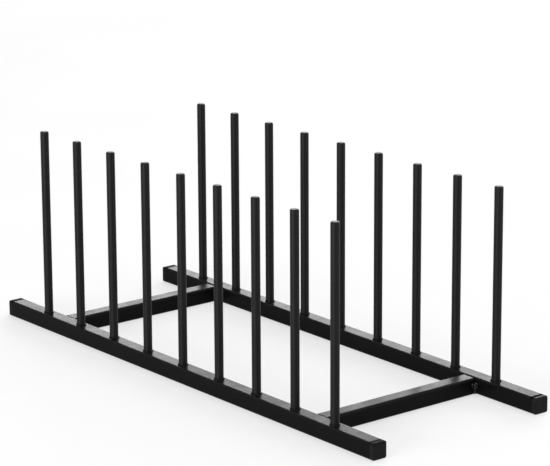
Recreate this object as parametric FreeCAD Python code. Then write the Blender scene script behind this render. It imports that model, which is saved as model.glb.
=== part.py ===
"""A free-standing plate rack of black coated steel, in millimetres.

Two square-tube rails lie along X, joined by two square-tube cross bars along Y.
Each rail carries a row of round pegs, and a plate stands on edge in the slot between two pegs.
The origin is on the table, under the middle of the rack: +X right, +Y to the rear, +Z up.
"""
import FreeCAD, Part
import os

from FreeCAD import Vector

# Square tube of the rails and the cross bars
tube_side = 12.0
tube_wall = 1.0
tube_corner_radius = 1.5
tube_bore_radius = 0.5
tube_end_round = 0.5

# Frame
rail_spacing = 146.0
rail_overhang = 46.0
bar_inset = 20.0

# Pegs
peg_count = 9
peg_pitch = 42.0
peg_diameter = 6.35
peg_stand = 140.0
peg_tip_round = 1.2
peg_tail_chamfer = 0.5
peg_hole_clearance = 0.1

# Plastic end caps
cap_flange = 4.2
cap_edge_round = 1.0
cap_seam_round = 0.5
cap_spigot_length = 10.0
cap_spigot_wall = 1.2
cap_spigot_clearance = 0.45
cap_fin_count = 3
cap_fin_thickness = 0.8
cap_fin_clearance = 0.05

# Weld beads
peg_weld_leg = 0.7
peg_weld_height = 1.2
peg_weld_crown = 0.1
bar_weld_leg = 3.6
bar_weld_foot_gap = 0.8
bar_weld_head_gap = 2.5
bar_weld_crown = 0.25

# Places worked out from the sizes
peg_radius = peg_diameter / 2
first_peg_x = -peg_pitch * (peg_count - 1) / 2
rail_end_x = -first_peg_x + rail_overhang
tube_end_x = rail_end_x - cap_flange
bar_x = -first_peg_x - bar_inset
rail_y = rail_spacing / 2
bar_length = rail_spacing - tube_side
tube_bore = tube_side - 2 * tube_wall
rails = {"front": -rail_y, "rear": rail_y}
sides = {"left": -1, "right": 1}
flat_tolerance = 1e-6


def rounded_square(side, radius, place, across, up):
    """A closed wire: a square of rounded corners, centred on place and lying along across and up."""
    flat = side / 2 - radius
    turns = ((across, up), (up, -across), (-across, -up), (-up, across))
    corners = [place + (a + b) * flat for a, b in turns]
    edges = []
    for (a, b), corner, following in zip(turns, corners, corners[1:] + corners[:1]):
        middle = corner + (a + b).normalize() * radius
        end = corner + b * radius
        edges.append(Part.Arc(corner + a * radius, middle, end).toShape())
        edges.append(Part.LineSegment(end, following + b * radius).toShape())
    return Part.Wire(edges)


def square_bar(side, radius, start, along, length):
    """A solid bar of rounded-square section, from start along a level direction."""
    up = Vector(0, 0, 1)
    outline = rounded_square(side, radius, start, along.cross(up), up)
    return Part.Face(outline).extrude(along * length)


def tube_outside(start, along, length):
    """The outer form of a length of the rack's square tube."""
    return square_bar(tube_side, tube_corner_radius, start, along, length)


def tube_inside(start, along, length):
    """The bore of a length of the rack's square tube."""
    return square_bar(tube_bore, tube_bore_radius, start, along, length)


def turned(outline, place):
    """A solid turned about the Z line through place, from half-section edges in the XZ plane."""
    face = Part.Face(Part.Wire(outline))
    solid = face.revolve(Vector(0, 0, 0), Vector(0, 0, 1), 360)
    solid.translate(place)
    return solid


def bulged(start, end, outward, bulge):
    """An arc from start to end whose middle stands out from the chord by bulge."""
    middle = (start + end) * 0.5 + outward * bulge
    return Part.Arc(start, middle, end).toShape()


def straight(*points):
    """Straight edges through the points, in order."""
    return [Part.LineSegment(a, b).toShape() for a, b in zip(points, points[1:])]


def peg_places(y):
    """Where the pegs of one rail stand, on the table's level."""
    return [Vector(first_peg_x + i * peg_pitch, y, 0) for i in range(peg_count)]


def rim_edges(solid, x):
    """The edges of a solid that lie in the plane across X at x."""
    return [e for e in solid.Edges if all(abs(v.X - x) < flat_tolerance for v in e.Vertexes)]


def rail(y):
    """One rail: a tube with softened ends, and a row of holes in its top wall, where the pegs go in."""
    start = Vector(-tube_end_x, y, tube_side / 2)
    along = Vector(1, 0, 0)
    length = 2 * tube_end_x
    outside = tube_outside(start, along, length)
    ends = rim_edges(outside, -tube_end_x) + rim_edges(outside, tube_end_x)
    body = outside.makeFillet(tube_end_round, ends).cut(tube_inside(start, along, length))
    hole_radius = peg_radius + peg_hole_clearance
    middle = Vector(0, 0, tube_side / 2)
    holes = [Part.makeCylinder(hole_radius, tube_side, place + middle) for place in peg_places(y)]
    return body.cut(Part.makeCompound(holes))


def cross_bar(side):
    """One cross bar, butted between the inner faces of the two rails."""
    start = Vector(side * bar_x, -bar_length / 2, tube_side / 2)
    along = Vector(0, 1, 0)
    return tube_outside(start, along, bar_length).cut(tube_inside(start, along, bar_length))


def peg(place):
    """A rod that stands on the tube's lower wall and passes up through the hole in its top wall."""
    tail = tube_wall
    tip = tube_side + peg_stand
    foot = Vector(0, 0, tail)
    foot_rim = Vector(peg_radius - peg_tail_chamfer, 0, tail)
    foot_side = Vector(peg_radius, 0, tail + peg_tail_chamfer)
    tip_side = Vector(peg_radius, 0, tip - peg_tip_round)
    tip_rim = Vector(peg_radius - peg_tip_round, 0, tip)
    top = Vector(0, 0, tip)
    centre = Vector(peg_radius - peg_tip_round, 0, tip - peg_tip_round)
    knee = centre + Vector(1, 0, 1).normalize() * peg_tip_round
    outline = straight(top, foot, foot_rim, foot_side, tip_side)
    outline.append(Part.Arc(tip_side, knee, tip_rim).toShape())
    outline += straight(tip_rim, top)
    return turned(outline, place)


def peg_weld(place):
    """The bead round a peg's foot, on the rail's top face."""
    inner = Vector(peg_radius, 0, tube_side)
    toe = Vector(peg_radius + peg_weld_leg, 0, tube_side)
    head = Vector(peg_radius, 0, tube_side + peg_weld_height)
    outward = Vector(peg_weld_height, 0, peg_weld_leg).normalize()
    outline = straight(head, inner, toe) + [bulged(toe, head, outward, peg_weld_crown)]
    return turned(outline, place)


def bar_weld(side, face, end):
    """The upright bead in the corner between one face of a cross bar and a rail."""
    corner = Vector(side * bar_x + face * tube_side / 2, end * bar_length / 2, bar_weld_foot_gap)
    on_bar = corner - Vector(0, end * bar_weld_leg, 0)
    on_rail = corner + Vector(face * bar_weld_leg, 0, 0)
    outward = Vector(face, -end, 0).normalize()
    outline = straight(on_bar, corner, on_rail) + [bulged(on_rail, on_bar, outward, bar_weld_crown)]
    height = tube_side - bar_weld_foot_gap - bar_weld_head_gap
    return Part.Face(Part.Wire(outline)).extrude(Vector(0, 0, height))


def cap_plate(y, side):
    """The outer plate of an end cap, as wide as the tube, with a rounded outer rim and a fine seam."""
    start = Vector(side * tube_end_x, y, tube_side / 2)
    plate = square_bar(tube_side, tube_corner_radius, start, Vector(side, 0, 0), cap_flange)
    plate = plate.makeFillet(cap_edge_round, rim_edges(plate, side * rail_end_x))
    return plate.makeFillet(cap_seam_round, rim_edges(plate, side * tube_end_x))


def end_cap(y, side):
    """A push-in cap: the flange, a hollow spigot inside the tube, and fins that grip its bore."""
    inward = Vector(-side, 0, 0)
    mouth = Vector(side * tube_end_x, y, tube_side / 2)
    spigot_side = tube_bore - 2 * cap_spigot_clearance
    hollow_side = spigot_side - 2 * cap_spigot_wall
    fin_side = tube_bore - 2 * cap_fin_clearance
    spigot = square_bar(spigot_side, tube_bore_radius, mouth, inward, cap_spigot_length)
    fin_step = cap_spigot_length / cap_fin_count
    fin_offset = (fin_step - cap_fin_thickness) / 2
    fins = []
    for i in range(cap_fin_count):
        start = mouth + inward * (i * fin_step + fin_offset)
        fins.append(square_bar(fin_side, tube_bore_radius, start, inward, cap_fin_thickness))
    hollow = square_bar(hollow_side, tube_bore_radius, mouth, inward, cap_spigot_length)
    plug = spigot.multiFuse(fins).cut(hollow)
    return cap_plate(y, side).fuse(plug).removeSplitter()


def all_parts():
    """Every piece of the rack, by name."""
    parts = {}
    for row, y in rails.items():
        parts[f"{row}_rail"] = rail(y)
        for number, place in enumerate(peg_places(y), start=1):
            parts[f"{row}_peg_{number}"] = peg(place)
            parts[f"{row}_peg_weld_{number}"] = peg_weld(place)
        for hand, side in sides.items():
            parts[f"{row}_{hand}_end_cap"] = end_cap(y, side)
    for hand, side in sides.items():
        parts[f"{hand}_cross_bar"] = cross_bar(side)
        beads = [bar_weld(side, face, end) for face in (-1, 1) for end in (-1, 1)]
        parts[f"{hand}_cross_bar_welds"] = Part.makeCompound(beads)
    return parts


def main():
    """Build the rack and write each piece to its own file."""
    os.makedirs("parts", exist_ok=True)
    for name, shape in all_parts().items():
        shape.exportStep(os.path.join("parts", name + ".step"))
        valid = all(s.isValid() and s.isClosed() for s in shape.Solids)
        print(f"{name}: {len(shape.Solids)} solid(s), {shape.Volume:.1f} mm3, valid {valid}")


main()
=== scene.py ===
"""The looks of a black coated steel plate rack: its coat, its plastic end caps and its weld beads.

Everything is in metres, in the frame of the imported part: the rails along X, the pegs up along Z.
"""
import math

import bpy
from mathutils import Matrix, Vector, noise


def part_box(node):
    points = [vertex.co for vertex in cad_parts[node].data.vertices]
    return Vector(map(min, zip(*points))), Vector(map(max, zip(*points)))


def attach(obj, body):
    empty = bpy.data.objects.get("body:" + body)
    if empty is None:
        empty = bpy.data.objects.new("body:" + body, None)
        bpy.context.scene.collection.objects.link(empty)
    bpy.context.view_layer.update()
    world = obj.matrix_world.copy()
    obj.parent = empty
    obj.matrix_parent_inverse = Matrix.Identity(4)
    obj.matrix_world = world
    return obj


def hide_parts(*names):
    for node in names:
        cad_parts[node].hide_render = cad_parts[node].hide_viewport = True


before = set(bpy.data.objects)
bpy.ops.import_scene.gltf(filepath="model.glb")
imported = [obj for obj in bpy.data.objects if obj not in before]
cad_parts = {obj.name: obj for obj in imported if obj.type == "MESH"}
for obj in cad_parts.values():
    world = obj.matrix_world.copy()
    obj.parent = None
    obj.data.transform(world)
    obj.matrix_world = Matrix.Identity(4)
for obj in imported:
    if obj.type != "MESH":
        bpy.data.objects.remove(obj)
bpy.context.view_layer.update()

MM = 0.001

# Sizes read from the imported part
rail_low, rail_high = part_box("rear_rail")
peg_low, peg_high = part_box("rear_peg_1")
ring_low, ring_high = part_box("rear_peg_weld_1")
bar_low, bar_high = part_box("right_cross_bar")
beads_low, beads_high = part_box("right_cross_bar_welds")
tube_side = rail_high.z - rail_low.z
rail_y = (rail_low.y + rail_high.y) / 2
bar_x = (bar_low.x + bar_high.x) / 2
peg_radius = (peg_high.x - peg_low.x) / 2
ring_leg = (ring_high.x - ring_low.x) / 2 - peg_radius
ring_height = ring_high.z - ring_low.z
bead_leg = (beads_high.x - beads_low.x - tube_side) / 2
seam_x = rail_high.x
joint_y = bar_high.y
peg_count = sum(name.startswith("rear_peg_") and "weld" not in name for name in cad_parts)

# Directions along the rails and along the cross bars
lengthwise = (1.0, 0.0, 0.0)
crosswise = (0.0, 1.0, 0.0)

# Seeds of the beads' unevenness, and the stride between two seeds
front_row_seed = 0
rear_row_seed = 100
quick_seed = 50
left_bar_seed = 11
right_bar_seed = 1
seed_stride = 7.3

# How deep the hidden back of a bead lies in the steel
bead_sink = 0.15 * MM
corner_sink = 0.3 * bead_sink

# Beads round the pegs' feet: their form as shares of their legs, where each weld stops, and their ripples
ring_steps = 132
ring_rows = 10
ring_crown = 0.15
ring_crown_out = 0.8
ring_crown_up = 0.6
ring_unevenness = 0.55
ring_slow_waves = 1.3
ring_quick_waves = 3.1
ring_stop_turn = 2.4
ring_stop_width = 0.3
ring_stop_growth = 0.12
ring_ripples = 9
ring_ripple_depth = 0.05 * MM
ring_ripple_sweep = 0.9
ring_ripple_stray = 0.35
ripple_wave = 0.8
ripple_overtone = 0.3
ripple_lag = 0.9

# Beads in the corners of the cross bars: their form as shares of their legs, and the puddles they are laid in
corner_steps = 90
corner_rows = 28
corner_crown = 0.2
corner_waist = 0.3
corner_foot = 0.25
corner_foot_reach = 0.42
corner_blob = 0.75
corner_blob_rise = 0.66
corner_blob_reach = 0.38
corner_end = 0.9 * MM
corner_end_share = 0.995
corner_raggedness = 0.25
corner_ragged_waves = 9
corner_ragged_row = 5.5
corner_puddles = 9
corner_puddle_columns = 3
corner_puddle_size = 1.5 * MM
corner_puddle_depth = 0.7 * MM
corner_puddle_step = 0.9
corner_puddle_stray = 0.55
corner_stray_waves = 1.7
corner_stray_row = 0.4

# Colours
coat_black = (0.0034, 0.0034, 0.0035, 1.0)
coat_thin = (0.0062, 0.0062, 0.0064, 1.0)
dust_grey = (0.075, 0.074, 0.072, 1.0)
cap_black = (0.003, 0.003, 0.0031, 1.0)
cap_scuffed = (0.0056, 0.0056, 0.0058, 1.0)
# Near black, used as painted shade along the seams and as the dark patches of the weld coat
seam_shade_and_weld_patch_black = (0.0012, 0.0012, 0.0012, 1.0)
floor_white = (0.94, 0.94, 0.94, 1.0)
floor_shade = (0.93, 0.93, 0.93, 1.0)
plain_white = (1.0, 1.0, 1.0, 1.0)

# Gloss, as the shader's specular level
rail_gloss = 0.027
bar_gloss = 0.04
rod_gloss = 0.11
peg_weld_gloss = 0.05
bar_weld_gloss = 0.16
cap_gloss = 0.066
floor_gloss = 0.1

# Roughness, from the low to the high end of a finish's patches, and what edges, dust and dirt do to it
rail_satin = 0.26
bar_satin = 0.31
tube_satin_spread = 0.06
rod_satin = (0.4, 0.46)
peg_weld_satin = (0.5, 0.42)
bar_weld_satin = (0.16, 0.06)
cap_matt = (0.5, 0.6)
floor_matt = (0.7, 0.8)
edge_polish = 0.05
dust_dulling = 0.2
streak_dulling = 0.03
weld_low_dulling = 0.3
tube_seam_dulling = 0.7
cap_seam_dulling = 0.5

# Painted shade along the seams, and the ends that have less of it: a cross bar's front end and the front
# rail's right end
seam_half_width = 1.55 * MM
seam_soft_width = 0.35 * MM
seam_depth = 2.5 * MM
seam_shade_wobble_scale = 700.0
seam_shade_wobble_size = 0.5 * MM
front_joint_seam_shade = 0.0
front_right_seam_shade = 0.5

# The front right cap, whose top is dull all over and darkened with painted shade
dull_cap_width = 5.0 * MM
dull_cap_shade = 0.4

# Other textures: features per metre, sizes, and the ranges of noise that show
noise_low = 0.3
noise_high = 0.7
edge_width = 1.6 * MM
edge_chip_scale = 420.0
edge_chip_size = 0.8 * MM
dust_scale = 260.0
dust_range = (0.35, 0.75)
dust_least_up = 0.5
tube_dust = 0.22
rod_dust = 0.2
cap_dust = 0.15
streak_draw = (1.0, 1.0, 0.03)
streak_scale = 1500.0
streak_range = (0.35, 0.7)
streak_share = 0.35
weld_low_top = 5.0 * MM
weld_low_bottom = 2.0 * MM
tube_skin = 0.03 * MM
rod_skin = 0.025 * MM
weld_skin = 0.02 * MM
cap_skin = 0.02 * MM
floor_cloud_scale = 6.0

# Camera, fitted to the photograph's frame
camera_azimuth = math.radians(51.35)
camera_elevation = math.radians(15.22)
camera_roll = math.radians(-0.29)
camera_distance = 2.0644
camera_aim = Vector((-0.0115, 0.0203, 0.0903))
camera_lens = 186.3
camera_sensor = 36.0

# Lamps: place, width and height, and brightness, where 1 is white
lamp_aim = (0.0, 0.0, 0.05)
overhead_place = (0.2, 0.3, 2.4)
overhead_size = (2.8, 3.6)
overhead_level = 1.2
front_place = (0.5, -2.15, 0.3)
front_size = (1.5, 0.6)
front_level = 23.0
side_place = (2.1, 0.9, 0.3)
side_size = (2.0, 0.55)
side_level = 6.4
behind_place = (-2.85, 4.54, 1.4)
behind_size = (6.0, 2.6)
behind_level = 6.5

# World and floor
ambient = 0.2
floor_glow = 0.55
floor_drop = 0.05 * MM
floor_reach = 4.0


def link(tree, value, socket):
    """Feed a socket from another socket, or set it to a plain value."""
    if isinstance(value, bpy.types.NodeSocket):
        tree.links.new(value, socket)
    else:
        socket.default_value = value


def node(tree, kind, inputs=None, **settings):
    """A new shader node with its settings and its inputs, by name or number."""
    made = tree.nodes.new(kind)
    for name, value in settings.items():
        setattr(made, name, value)
    for name, value in (inputs or {}).items():
        link(tree, value, made.inputs[name])
    return made


def maths(tree, operation, *values, clamp=False):
    """The output of a Math node."""
    made = node(tree, "ShaderNodeMath", dict(enumerate(values)), operation=operation, use_clamp=clamp)
    return made.outputs[0]


def between(tree, value, low, high, to_low=0.0, to_high=1.0):
    """A smooth step of a value from one range to another."""
    made = node(tree, "ShaderNodeMapRange", interpolation_type="SMOOTHSTEP")
    for name, given in (("Value", value), ("From Min", low), ("From Max", high),
                        ("To Min", to_low), ("To Max", to_high)):
        link(tree, given, made.inputs[name])
    return made.outputs["Result"]


def mixed(tree, factor, first, second):
    """A colour between two colours."""
    made = node(tree, "ShaderNodeMix", data_type="RGBA")
    link(tree, factor, made.inputs["Factor"])
    link(tree, first, made.inputs[6])
    link(tree, second, made.inputs[7])
    return made.outputs[2]


def speckle(tree, place, scale, detail=2.0, roughness=0.5):
    """The grey value of a noise of that many features per metre."""
    values = {"Vector": place, "Scale": scale, "Detail": detail, "Roughness": roughness}
    return node(tree, "ShaderNodeTexNoise", values).outputs["Fac"]


def place_on(tree):
    """The place on a piece, in the rack's frame."""
    return node(tree, "ShaderNodeTexCoord").outputs["Object"]


def z_of(tree, vector):
    """The Z part of a vector."""
    return node(tree, "ShaderNodeSeparateXYZ", {0: vector}).outputs["Z"]


def reach_along(tree, place, direction):
    """How far a place lies along a direction."""
    made = node(tree, "ShaderNodeVectorMath", {0: place, 1: direction}, operation="DOT_PRODUCT")
    return made.outputs["Value"]


def gap_to_pair(tree, reach, mark):
    """How far a reach is from the nearer of two marks, one at plus and one at minus that value."""
    length = maths(tree, "ABSOLUTE", reach)
    return maths(tree, "ABSOLUTE", maths(tree, "SUBTRACT", length, mark))


def effect_group(name, inputs, outputs):
    """An empty shader group with its named sockets, and the nodes that hold them."""
    group = bpy.data.node_groups.new(name, "ShaderNodeTree")
    for label, kind, value in inputs:
        socket = group.interface.new_socket(label, in_out="INPUT", socket_type=kind)
        socket.default_value = value
    for label, kind in outputs:
        group.interface.new_socket(label, in_out="OUTPUT", socket_type=kind)
    return group, group.nodes.new("NodeGroupInput"), group.nodes.new("NodeGroupOutput")


def coat_texture_group():
    """The skin of a baked powder coat: a soft orange peel, a fine grain, and slow patches of gloss."""
    group, given, out = effect_group(
        "Coat Texture",
        [("Peel Scale", "NodeSocketFloat", 900.0), ("Grain Scale", "NodeSocketFloat", 3200.0),
         ("Grain Share", "NodeSocketFloat", 0.35), ("Patch Scale", "NodeSocketFloat", 70.0)],
        [("Height", "NodeSocketFloat"), ("Patches", "NodeSocketFloat")])
    place = place_on(group)
    peel = speckle(group, place, given.outputs["Peel Scale"], detail=1.0)
    grain = speckle(group, place, given.outputs["Grain Scale"])
    patches = speckle(group, place, given.outputs["Patch Scale"], detail=3.0, roughness=0.6)
    raised = maths(group, "MULTIPLY", grain, given.outputs["Grain Share"])
    link(group, maths(group, "ADD", peel, raised), out.inputs["Height"])
    link(group, between(group, patches, noise_low, noise_high), out.inputs["Patches"])
    return group


def tube_edge_group():
    """A mask of a square tube's corners, where the coat runs thin before it is baked."""
    group, given, out = effect_group(
        "Tube Edge",
        [("Across", "NodeSocketVector", crosswise), ("Middle", "NodeSocketFloat", 0.0),
         ("Half Side", "NodeSocketFloat", tube_side / 2), ("Soft Width", "NodeSocketFloat", edge_width)],
        [("Edge", "NodeSocketFloat")])
    place = place_on(group)
    half_side = given.outputs["Half Side"]
    sideways = gap_to_pair(group, reach_along(group, place, given.outputs["Across"]), given.outputs["Middle"])
    upright = maths(group, "ABSOLUTE", maths(group, "SUBTRACT", z_of(group, place), half_side))
    nearest = maths(group, "MINIMUM", sideways, upright)
    start = maths(group, "SUBTRACT", half_side, given.outputs["Soft Width"])
    chips = speckle(group, place, edge_chip_scale, detail=3.0)
    ragged = maths(group, "MULTIPLY_ADD", chips, edge_chip_size, nearest)
    link(group, between(group, ragged, start, half_side), out.inputs["Edge"])
    return group


def dust_group():
    """A thin uneven film of dust on what faces up."""
    group, given, out = effect_group(
        "Dust", [("Amount", "NodeSocketFloat", 0.5)], [("Film", "NodeSocketFloat")])
    facing = node(group, "ShaderNodeNewGeometry").outputs["Normal"]
    upward = between(group, z_of(group, facing), dust_least_up, 1.0)
    specks = speckle(group, place_on(group), dust_scale, detail=5.0, roughness=0.7)
    film = maths(group, "MULTIPLY", upward, between(group, specks, *dust_range))
    link(group, maths(group, "MULTIPLY", film, given.outputs["Amount"]), out.inputs["Film"])
    return group


def seam_shade_group():
    """A mask of painted shade along the top of the seams at a tube's ends, where the gaps fall dark, with a
    share for each end.
    """
    group, given, out = effect_group(
        "Painted Seam Shade",
        [("Along", "NodeSocketVector", lengthwise), ("Seam Place", "NodeSocketFloat", seam_x),
         ("Half Width", "NodeSocketFloat", seam_half_width),
         ("Lowest", "NodeSocketFloat", tube_side - seam_depth),
         ("Low End Share", "NodeSocketFloat", 1.0), ("High End Share", "NodeSocketFloat", 1.0)],
        [("Seam", "NodeSocketFloat")])
    place = place_on(group)
    half_width = given.outputs["Half Width"]
    low_share = given.outputs["Low End Share"]
    reach = reach_along(group, place, given.outputs["Along"])
    away = gap_to_pair(group, reach, given.outputs["Seam Place"])
    wobble = speckle(group, place, seam_shade_wobble_scale, detail=3.0)
    ragged = maths(group, "MULTIPLY_ADD", wobble, seam_shade_wobble_size, away)
    near = between(group, ragged, maths(group, "ADD", half_width, seam_soft_width), half_width)
    on_top = between(group, z_of(group, place), given.outputs["Lowest"], tube_side)
    at_high_end = maths(group, "GREATER_THAN", reach, 0.0)
    more = maths(group, "SUBTRACT", given.outputs["High End Share"], low_share)
    share = maths(group, "MULTIPLY_ADD", at_high_end, more, low_share)
    painted_shade = maths(group, "MULTIPLY", near, on_top)
    link(group, maths(group, "MULTIPLY", painted_shade, share), out.inputs["Seam"])
    return group


def placed(tree, group, **values):
    """A group in a material, with its own values. Names are given with _ for each space."""
    made = node(tree, "ShaderNodeGroup", node_tree=group)
    for name, value in values.items():
        made.inputs[name.replace("_", " ").title()].default_value = value
    return made.outputs


def new_material(name):
    """A node material with its Principled shader."""
    material = bpy.data.materials.new(name)
    material.use_nodes = True
    return material, material.node_tree, material.node_tree.nodes["Principled BSDF"]


def bump(tree, height, distance, shader):
    """Raise the surface by a height of at most about that distance."""
    made = node(tree, "ShaderNodeBump", {"Height": height, "Distance": distance, "Strength": 1.0})
    link(tree, made.outputs["Normal"], shader.inputs["Normal"])


def tube_coat(name, edges, seams, gloss, satin_least, groups):
    """Satin black powder coat on square tube: peel, glossier thin corners, some dust, and dull end seams
    darkened with painted shade.
    """
    material, tree, shader = new_material(name)
    skin = placed(tree, groups["coat"])
    edge = placed(tree, groups["edge"], **edges)["Edge"]
    film = placed(tree, groups["dust"], amount=tube_dust)["Film"]
    seam = placed(tree, groups["seam"], **seams)["Seam"]
    colour = mixed(tree, film, mixed(tree, edge, coat_black, coat_thin), dust_grey)
    # Painted shade: the top of the end seams is darkened towards near black
    link(tree, mixed(tree, seam, colour, seam_shade_and_weld_patch_black), shader.inputs["Base Color"])
    satin = between(tree, skin["Patches"], 0.0, 1.0, satin_least, satin_least + tube_satin_spread)
    satin = maths(tree, "MULTIPLY_ADD", edge, -edge_polish, satin)
    satin = maths(tree, "MULTIPLY_ADD", film, dust_dulling, satin)
    satin = maths(tree, "MULTIPLY_ADD", seam, tube_seam_dulling, satin, clamp=True)
    link(tree, satin, shader.inputs["Roughness"])
    shader.inputs["Specular IOR Level"].default_value = gloss
    bump(tree, skin["Height"], tube_skin, shader)
    return material


def rail_coat(name, groups, **seams):
    """The coat on a rail, with painted shade along its seams at the end caps."""
    edges = {"across": crosswise, "middle": rail_y}
    return tube_coat(name, edges, seams, rail_gloss, rail_satin, groups)


def bar_coat(groups):
    """The coat on the cross bars, with painted shade along their seams where they meet the rails."""
    edges = {"across": lengthwise, "middle": bar_x}
    seams = {"along": crosswise, "seam_place": joint_y, "low_end_share": front_joint_seam_shade}
    return tube_coat("Coat on cross bars", edges, seams, bar_gloss, bar_satin, groups)


def rod_coat(groups):
    """The same coat on the pegs, with faint streaks along the rod."""
    material, tree, shader = new_material("Coat on pegs")
    skin = placed(tree, groups["coat"], peel_scale=1100.0)
    film = placed(tree, groups["dust"], amount=rod_dust)["Film"]
    drawn = node(tree, "ShaderNodeVectorMath", {0: place_on(tree), 1: streak_draw}, operation="MULTIPLY")
    streaks = between(tree, speckle(tree, drawn.outputs[0], streak_scale), *streak_range)
    colour = mixed(tree, maths(tree, "MULTIPLY", streaks, streak_share), coat_black, coat_thin)
    link(tree, mixed(tree, film, colour, dust_grey), shader.inputs["Base Color"])
    satin = between(tree, skin["Patches"], 0.0, 1.0, *rod_satin)
    link(tree, maths(tree, "MULTIPLY_ADD", streaks, streak_dulling, satin), shader.inputs["Roughness"])
    shader.inputs["Specular IOR Level"].default_value = rod_gloss
    bump(tree, skin["Height"], rod_skin, shader)
    return material


def weld_coat(name, gloss, satin, groups):
    """The coat over the weld beads: a grainier skin, dark in its dull patches, and duller near the floor."""
    material, tree, shader = new_material(name)
    skin = placed(tree, groups["coat"], peel_scale=1500.0, grain_share=0.6, patch_scale=300.0)
    link(tree, mixed(tree, skin["Patches"], seam_shade_and_weld_patch_black, coat_black), shader.inputs["Base Color"])
    low_down = between(tree, z_of(tree, place_on(tree)), weld_low_top, weld_low_bottom)
    patchy = between(tree, skin["Patches"], 0.0, 1.0, *satin)
    duller = maths(tree, "MULTIPLY_ADD", low_down, weld_low_dulling, patchy, clamp=True)
    link(tree, duller, shader.inputs["Roughness"])
    shader.inputs["Specular IOR Level"].default_value = gloss
    bump(tree, skin["Height"], weld_skin, shader)
    return material


def cap_plastic(name, groups, **seams):
    """Black moulded plastic of the end caps: a fine even texture, a few dull scuffs and painted shade along
    the seam.
    """
    material, tree, shader = new_material(name)
    skin = placed(tree, groups["coat"], peel_scale=2600.0, grain_scale=5200.0, grain_share=0.8,
                  patch_scale=240.0)
    film = placed(tree, groups["dust"], amount=cap_dust)["Film"]
    seam = placed(tree, groups["seam"], **seams)["Seam"]
    colour = mixed(tree, film, mixed(tree, skin["Patches"], cap_black, cap_scuffed), dust_grey)
    # Painted shade: the top of the seam at the tube's end is darkened towards near black
    link(tree, mixed(tree, seam, colour, seam_shade_and_weld_patch_black), shader.inputs["Base Color"])
    matt = between(tree, skin["Patches"], 0.0, 1.0, *cap_matt)
    matt = maths(tree, "MULTIPLY_ADD", seam, cap_seam_dulling, matt, clamp=True)
    link(tree, matt, shader.inputs["Roughness"])
    shader.inputs["Specular IOR Level"].default_value = cap_gloss
    bump(tree, skin["Height"], cap_skin, shader)
    return material


def seen_directly(tree):
    """1 for what the camera sees straight, mirrored or through a clear thing, and 0 for other light."""
    ray = node(tree, "ShaderNodeLightPath").outputs
    seen = maths(tree, "ADD", ray["Is Camera Ray"], ray["Is Glossy Ray"])
    return maths(tree, "ADD", seen, ray["Is Transmission Ray"], clamp=True)


def floor_paper():
    """A plain pale sheet under the rack, which the camera and the coat's gloss see partly lit from within."""
    material, tree, shader = new_material("Pale floor")
    cloudy = speckle(tree, place_on(tree), floor_cloud_scale, detail=3.0)
    link(tree, mixed(tree, cloudy, floor_shade, floor_white), shader.inputs["Base Color"])
    link(tree, between(tree, cloudy, noise_low, noise_high, *floor_matt), shader.inputs["Roughness"])
    shader.inputs["Specular IOR Level"].default_value = floor_gloss
    glow = node(tree, "ShaderNodeEmission", {"Color": plain_white, "Strength": 1.0})
    share = maths(tree, "MULTIPLY", seen_directly(tree), floor_glow)
    lit = node(tree, "ShaderNodeMixShader", {0: share, 1: shader.outputs[0], 2: glow.outputs[0]})
    link(tree, lit.outputs[0], tree.nodes["Material Output"].inputs["Surface"])
    return material


def ripple(phase):
    """A bead's ripple at a phase counted in ripples: a lopsided wave between about -1 and 1."""
    turn = 2 * math.pi * phase
    return ripple_wave * math.sin(turn) + ripple_overtone * math.sin(2 * turn + ripple_lag)


def uneven(x, y, seed):
    """A slow unevenness over two measures, different for each seed, between about -1 and 1."""
    return noise.noise(Vector((x, y, seed_stride * seed)))


def mesh_piece(name, points, faces, material):
    """A smooth-shaded mesh object of those points and faces."""
    mesh = bpy.data.meshes.new(name)
    mesh.from_pydata(points, [], faces)
    mesh.validate()
    mesh.shade_smooth()
    mesh.materials.append(material)
    piece = bpy.data.objects.new(name, mesh)
    bpy.context.scene.collection.objects.link(piece)
    return piece


def strip_faces(rings, width, closed):
    """Quads between neighbouring rings of points, each ring closed in itself."""
    faces = []
    for i in range(rings if closed else rings - 1):
        here = i * width
        following = (i + 1) % rings * width
        for j in range(width):
            beside = (j + 1) % width
            faces.append((here + j, following + j, following + beside, here + beside))
    return faces


def bead_section(share):
    """Where a bead's face lies between its two legs: the share of each leg, and how far it stands out."""
    return 1 - share, share, math.sin(math.pi * share)


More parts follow.
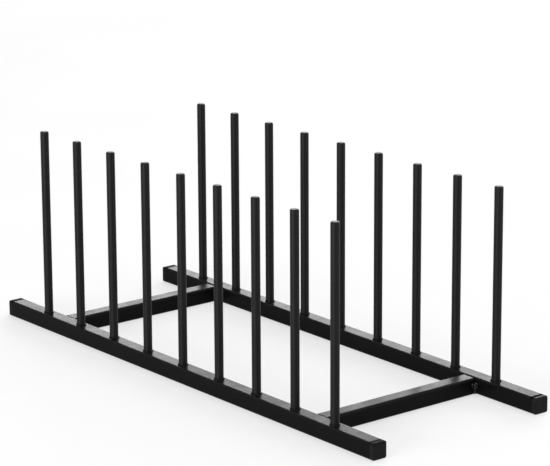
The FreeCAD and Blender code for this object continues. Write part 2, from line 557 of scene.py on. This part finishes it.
def ring_bead(name, centre, seed, material):
    """The rippled bead round a peg's foot: each ring of points goes up the bead's face and back inside it."""
    points = []
    stop = ring_stop_turn * seed
    for i in range(ring_steps):
        turn = 2 * math.pi * i / ring_steps
        outward = Vector((math.cos(turn), math.sin(turn), 0))
        slow = uneven(ring_slow_waves * outward.x, ring_slow_waves * outward.y, seed)
        quick = uneven(ring_quick_waves * outward.x, ring_quick_waves * outward.y, seed + quick_seed)
        away = math.remainder(turn - stop, 2 * math.pi)
        overlap = math.exp(-(away / ring_stop_width) ** 2)
        grown = 1 + ring_unevenness * slow + ring_stop_growth * overlap
        for j in range(ring_rows + 1):
            on_rail, on_peg, bulge = bead_section(j / ring_rows)
            sweep = ring_ripple_sweep * (on_peg - 0.5) ** 2
            phase = ring_ripples * turn / (2 * math.pi) + sweep + ring_ripple_stray * quick
            proud = bulge * (ring_crown * ring_leg + ring_ripple_depth * ripple(phase))
            radius = peg_radius + ring_leg * grown * on_rail + ring_crown_out * proud
            lift = ring_height * grown * on_peg + ring_crown_up * proud - bead_sink * on_rail
            points.append(centre + outward * radius + Vector((0, 0, lift)))
        inner = outward * (peg_radius - 2 * bead_sink)
        points.append(centre + inner + Vector((0, 0, ring_height * grown)))
        points.append(centre + inner - Vector((0, 0, bead_sink)))
    width = ring_rows + 3
    return mesh_piece(name, points, strip_faces(ring_steps, width, True), material)


def half_round(share):
    """The height of a half circle at a share of its radius, and 0 beyond it."""
    return math.sqrt(max(0.0, 1 - share * share))


def corner_girth(rise):
    """How full a corner bead is on its way up, as a share of its legs: a round blob above a spread foot."""
    foot = corner_foot * half_round(rise / corner_foot_reach)
    blob = corner_blob * half_round((rise - corner_blob_rise) / corner_blob_reach)
    return corner_waist + math.hypot(foot, blob)


def corner_puddle_places(low, high, seed):
    """The puddles of a corner bead, from its foot up: how high each lies, how far aside, and its size."""
    places = []
    middle_column = (corner_puddle_columns - 1) / 2
    for i in range(corner_puddles):
        up = low + (high - low) * (i + 0.5) / corner_puddles
        strays = [uneven(corner_stray_waves * i, corner_stray_row + k, seed) for k in range(3)]
        rise, drift, swell = [corner_puddle_stray * stray for stray in strays]
        aside = corner_puddle_step * (i % corner_puddle_columns - middle_column)
        size = corner_puddle_size * (1 + swell)
        places.append((up + rise * size, (aside + drift) * size, size))
    return places


def puddle_rise(level, across, places):
    """How far the highest puddle rises at a place on a bead's face: 0 at its rim, and 1 in its middle."""
    return max(1 - ((level - up) ** 2 + (across - aside) ** 2) / size ** 2 for up, aside, size in places)


def corner_bead(corner, on_bar, on_rail, low, high, seed):
    """Points and faces of the bead in an upright corner, laid in puddles from its bottom to its top."""
    points = []
    places = corner_puddle_places(low, high, seed)
    out = (on_bar + on_rail).normalized()
    for i in range(corner_steps + 1):
        rise = i / corner_steps
        level = low + (high - low) * rise
        closing = half_round(corner_end_share * max(0.0, 1 - (high - level) / corner_end))
        ragged = 1 + corner_raggedness * uneven(corner_ragged_waves * rise, corner_ragged_row, seed)
        grown = corner_girth(rise) * closing * ragged
        ring = []
        for j in range(corner_rows + 1):
            bar_share, rail_share, bulge = bead_section(j / corner_rows)
            across = (rail_share - 0.5) * bead_leg * grown * math.sqrt(2)
            puddle = corner_puddle_depth * max(0.0, puddle_rise(level, across, places))
            proud = grown * (bulge * corner_crown * bead_leg + math.sqrt(bulge) * puddle)
            flat = on_bar * (bead_leg * grown * bar_share) + on_rail * (bead_leg * grown * rail_share)
            ring.append(flat + out * proud)
        ring.append(-out * bead_sink)
        points += [Vector((corner.x, corner.y, level)) + point - out * corner_sink for point in ring]
    width = corner_rows + 2
    faces = strip_faces(corner_steps + 1, width, False)
    faces.append(tuple(range(width)))
    faces.append(tuple(corner_steps * width + j for j in reversed(range(width))))
    return points, faces


def bar_beads(name, side, material):
    """The four beads of one cross bar, as one piece."""
    points = []
    faces = []
    seed = right_bar_seed if side > 0 else left_bar_seed
    for face in (-1, 1):
        for end in (-1, 1):
            seed += 1
            corner = Vector((side * bar_x + face * tube_side / 2, end * (rail_y - tube_side / 2), 0))
            on_bar = Vector((0, -end, 0))
            on_rail = Vector((face, 0, 0))
            more, more_faces = corner_bead(corner, on_bar, on_rail, beads_low.z, beads_high.z, seed)
            if face * end > 0:
                more_faces = [numbers[::-1] for numbers in more_faces]
            faces += [tuple(len(points) + number for number in numbers) for numbers in more_faces]
            points += more
    return mesh_piece(name, points, faces, material)


def stand_for(piece, cad_node):
    """A piece of the rack takes the place of a CAD node."""
    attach(piece, "root")
    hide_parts(cad_node)


def dress(cad_node, material):
    """Give a CAD node its finish."""
    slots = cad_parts[cad_node].data.materials
    slots.clear()
    slots.append(material)


def lay_peg_welds(row, row_seed, material):
    """A rippled bead round each peg of a row, in place of its plain weld."""
    for number in range(1, peg_count + 1):
        weld = f"{row}_peg_weld_{number}"
        low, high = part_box(weld)
        foot = Vector(((low.x + high.x) / 2, (low.y + high.y) / 2, low.z))
        stand_for(ring_bead(f"{weld}_bead", foot, row_seed + number, material), weld)


def lay_bar_welds(hand, side, material):
    """Puddled beads in the corners of a cross bar, in place of its plain welds."""
    welds = f"{hand}_cross_bar_welds"
    stand_for(bar_beads(f"{welds}_beads", side, material), welds)


def dress_rack():
    """Finish the tubes, pegs and caps, and lay the weld beads."""
    groups = {"coat": coat_texture_group(), "edge": tube_edge_group(),
              "dust": dust_group(), "seam": seam_shade_group()}
    on_rails = {"front": rail_coat("Coat on front rail", groups, high_end_share=front_right_seam_shade),
                "rear": rail_coat("Coat on rear rail", groups)}
    on_bars = bar_coat(groups)
    on_pegs = rod_coat(groups)
    on_peg_welds = weld_coat("Coat on peg welds", peg_weld_gloss, peg_weld_satin, groups)
    on_bar_welds = weld_coat("Coat on bar welds", bar_weld_gloss, bar_weld_satin, groups)
    caps = cap_plastic("Cap plastic", groups)
    # The front right cap's top gets painted shade over a wider band, as well as duller roughness
    dull_cap = cap_plastic("Dull cap plastic", groups,
                           half_width=dull_cap_width, high_end_share=dull_cap_shade)
    for row, row_seed in (("front", front_row_seed), ("rear", rear_row_seed)):
        dress(f"{row}_rail", on_rails[row])
        for hand in ("left", "right"):
            dress(f"{row}_{hand}_end_cap", caps)
        for number in range(1, peg_count + 1):
            dress(f"{row}_peg_{number}", on_pegs)
        lay_peg_welds(row, row_seed, on_peg_welds)
    dress("front_right_end_cap", dull_cap)
    for hand, side in (("left", -1), ("right", 1)):
        dress(f"{hand}_cross_bar", on_bars)
        lay_bar_welds(hand, side, on_bar_welds)


def lay_floor():
    """A wide pale floor just under the rails."""
    reach = floor_reach
    corners = [(-reach, -reach, -floor_drop), (reach, -reach, -floor_drop),
               (reach, reach, -floor_drop), (-reach, reach, -floor_drop)]
    mesh_piece("floor", corners, [(0, 1, 2, 3)], floor_paper())


def softbox(name, place, size, brightness):
    """A rectangular soft lamp of even brightness, turned to the rack and unseen by the camera."""
    width, height = size
    lamp = bpy.data.lights.new(name, "AREA")
    lamp.shape = "RECTANGLE"
    lamp.size = width
    lamp.size_y = height
    lamp.energy = brightness * math.pi * width * height
    holder = bpy.data.objects.new(name, lamp)
    holder.location = place
    holder.rotation_mode = "QUATERNION"
    holder.rotation_quaternion = (Vector(lamp_aim) - Vector(place)).to_track_quat("-Z", "Y")
    holder.visible_camera = False
    bpy.context.scene.collection.objects.link(holder)


def light_rack():
    """Plain studio light: a wide lamp above, low ones in front and at the side, and a panel behind."""
    world = bpy.data.worlds.new("Studio")
    world.use_nodes = True
    tree = world.node_tree
    sky = tree.nodes["Background"]
    sky.inputs["Color"].default_value = plain_white
    strength = maths(tree, "MULTIPLY_ADD", seen_directly(tree), 1.0 - ambient, ambient)
    link(tree, strength, sky.inputs["Strength"])
    bpy.context.scene.world = world
    softbox("overhead lamp", overhead_place, overhead_size, overhead_level)
    softbox("front lamp", front_place, front_size, front_level)
    softbox("side lamp", side_place, side_size, side_level)
    softbox("panel behind", behind_place, behind_size, behind_level)


def place_camera():
    """The camera, at the photograph's viewing angle."""
    lens = bpy.data.cameras.new("camera")
    lens.sensor_width = camera_sensor
    lens.lens = camera_lens
    sideways = math.sin(camera_azimuth)
    forward = math.cos(camera_azimuth)
    level = math.cos(camera_elevation)
    back = Vector((sideways * level, -forward * level, math.sin(camera_elevation)))
    right = Vector((forward, sideways, 0))
    stand = Matrix((right, back.cross(right), back)).transposed() @ Matrix.Rotation(camera_roll, 3, "Z")
    camera = bpy.data.objects.new("camera", lens)
    camera.matrix_world = Matrix.Translation(camera_aim + back * camera_distance) @ stand.to_4x4()
    bpy.context.scene.collection.objects.link(camera)
    bpy.context.scene.camera = camera


dress_rack()
lay_floor()
light_rack()
place_camera()
bpy.context.scene.view_settings.view_transform = "Standard"
